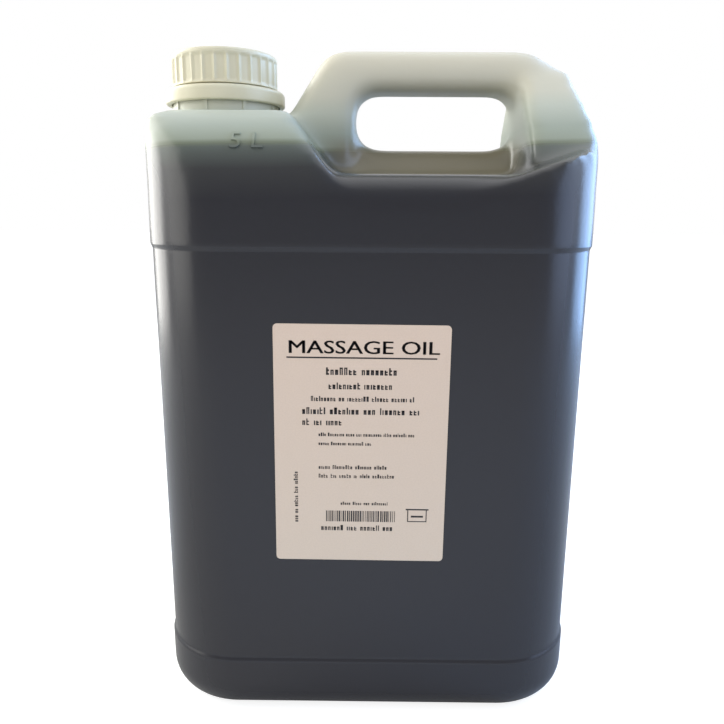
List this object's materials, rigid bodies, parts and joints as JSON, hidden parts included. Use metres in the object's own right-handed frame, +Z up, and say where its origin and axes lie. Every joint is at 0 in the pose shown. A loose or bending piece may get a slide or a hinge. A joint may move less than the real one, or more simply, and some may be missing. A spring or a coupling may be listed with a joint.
{
  "type": "screw cap canister",
  "caption": "Upright rectangular plastic canister with a moulded-in handle, an off-centre neck, a ribbed tamper-evident screw cap and a front label, filled with dark massage oil.",
  "frame": {"origin": "centre of the base, on the surface that the canister stands on", "axes": "+Z up, -Y out of the front with the label, -X towards the neck, +X towards the handle's outer post"},
  "size_m": [0.185, 0.125, 0.285],
  "materials": {
    "natural_hdpe": "natural unpigmented polyethylene, milky and see-through, satin",
    "ivory_cap": "ivory white polyethylene, satin",
    "liner_foam": "white foamed polyethylene sealing disc",
    "label_paper": "cream paper, matt",
    "dark_oil": "very dark blue-green massage oil"
  },
  "bodies": {
    "filled_canister": {"canister": "natural_hdpe", "massage_oil": "dark_oil", "front_label": "label_paper", "tamper_band": "ivory_cap", "tamper_bridges": "ivory_cap"},
    "liner": {"cap_liner": "liner_foam"},
    "cap": {"screw_cap": "ivory_cap"}
  },
  "joints": [
    {"name": "cap_rise", "type": "slide", "parent": "filled_canister", "child": "liner", "axis": [0, 0, 1], "range_m": [0, 0.012]},
    {"name": "cap_turn", "type": "hinge", "parent": "liner", "child": "cap", "pos_m": [-0.065, 0, 0.2694], "axis": [0, 0, 1], "range_deg": [0, 1080]}
  ],
  "couplings": [
    {"joint": "cap_rise", "follows": "cap_turn", "m_per_rad": 0.00063662}
  ]
}
